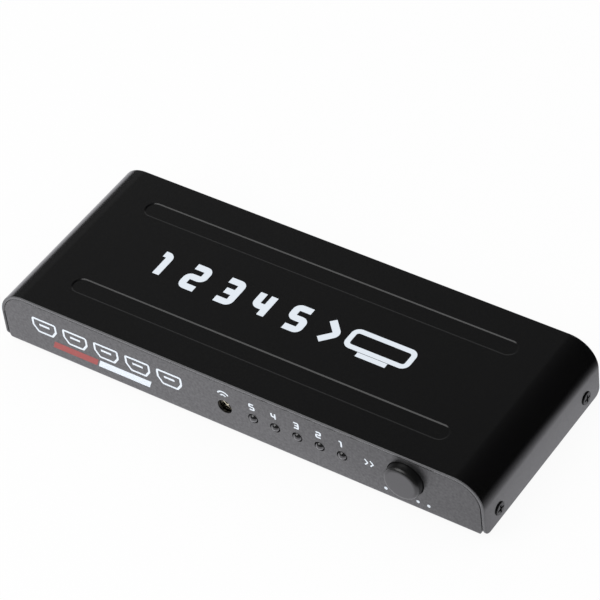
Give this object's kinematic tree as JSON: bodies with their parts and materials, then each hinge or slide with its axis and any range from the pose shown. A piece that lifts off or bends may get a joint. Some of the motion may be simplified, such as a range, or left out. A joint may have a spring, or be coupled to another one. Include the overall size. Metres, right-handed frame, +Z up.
{
  "type": "video selector box",
  "caption": "Low black sheet-metal selector box with rounded ends, pressed grooves on top, indicator lights, an infrared window and a round push button in front, and video sockets behind.",
  "frame": {"origin": "middle of the box's footprint, on the surface that the feet stand on", "axes": "+X along the front from left to right, +Y from the front to the rear, +Z up"},
  "size_m": [0.1668, 0.0662, 0.0212],
  "materials": {
    "cover_paint": "satin black paint with a fine grain",
    "chassis_paint": "satin charcoal paint with a fine grain",
    "foot_rubber": "matt black rubber",
    "black_screw": "blackened steel",
    "zinc_steel": "bright zinc",
    "board_green": "green solder mask",
    "button_plastic": "fine-grained black plastic",
    "switch_plastic": "moulded black plastic",
    "spring_bronze": "spring bronze",
    "clear_lens": "smoke-tinted clear resin, dark while unlit",
    "infrared_lens": "dark infrared-passing resin",
    "shield_tin": "pale plated sheet",
    "socket_steel": "bright plated steel",
    "socket_plastic": "moulded black plastic",
    "contact_gold": "gold-flashed contact",
    "chip_epoxy": "moulded black epoxy",
    "crystal_can": "drawn steel can",
    "ferrite": "grey ferrite",
    "capacitor_can": "drawn aluminium can",
    "resistor_ceramic": "dark glazed ceramic"
  },
  "bodies": {
    "case": {"top_cover": "cover_paint", "chassis": "chassis_paint", "foot_front_left": "foot_rubber", "foot_front_right": "foot_rubber", "foot_rear_left": "foot_rubber", "foot_rear_right": "foot_rubber", "cover_screws": "black_screw", "board_standoffs": "zinc_steel", "board_screws": "zinc_steel", "switch_bracket": "zinc_steel", "switch_pins": "zinc_steel", "light_leads": "zinc_steel", "ir_leads": "zinc_steel", "circuit_board": "board_green", "switch_housing": "switch_plastic", "switch_dome": "spring_bronze", "status_light_1": "clear_lens", "status_light_2": "clear_lens", "status_light_3": "clear_lens", "status_light_4": "clear_lens", "status_light_5": "clear_lens", "ir_receiver": "infrared_lens", "ir_shield": "shield_tin", "input_1_socket_shell": "socket_steel", "input_2_socket_shell": "socket_steel", "input_3_socket_shell": "socket_steel", "input_4_socket_shell": "socket_steel", "input_5_socket_shell": "socket_steel", "output_socket_shell": "socket_steel", "dc_jack_pin": "socket_steel", "dc_jack_leaf": "socket_steel", "input_1_socket_tongue": "socket_plastic", "input_2_socket_tongue": "socket_plastic", "input_3_socket_tongue": "socket_plastic", "input_4_socket_tongue": "socket_plastic", "input_5_socket_tongue": "socket_plastic", "output_socket_tongue": "socket_plastic", "dc_jack_housing": "socket_plastic", "input_1_socket_contacts": "contact_gold", "input_2_socket_contacts": "contact_gold", "input_3_socket_contacts": "contact_gold", "input_4_socket_contacts": "contact_gold", "input_5_socket_contacts": "contact_gold", "output_socket_contacts": "contact_gold", "selector_chip": "chip_epoxy", "controller_chip": "chip_epoxy", "regulator": "chip_epoxy", "crystal": "crystal_can", "inductor": "ferrite", "filter_capacitor_1": "capacitor_can", "filter_capacitor_2": "capacitor_can", "chip_resistors": "resistor_ceramic"},
    "button": {"button_cap": "button_plastic", "switch_plunger": "switch_plastic"}
  },
  "joints": [
    {"name": "button_press", "type": "slide", "parent": "case", "child": "button", "axis": [0, 1, 0], "range_m": [0, 0.001], "stiffness_N_per_m": 800, "springref_m": -0.001, "deforming": ["switch_dome"]}
  ]
}
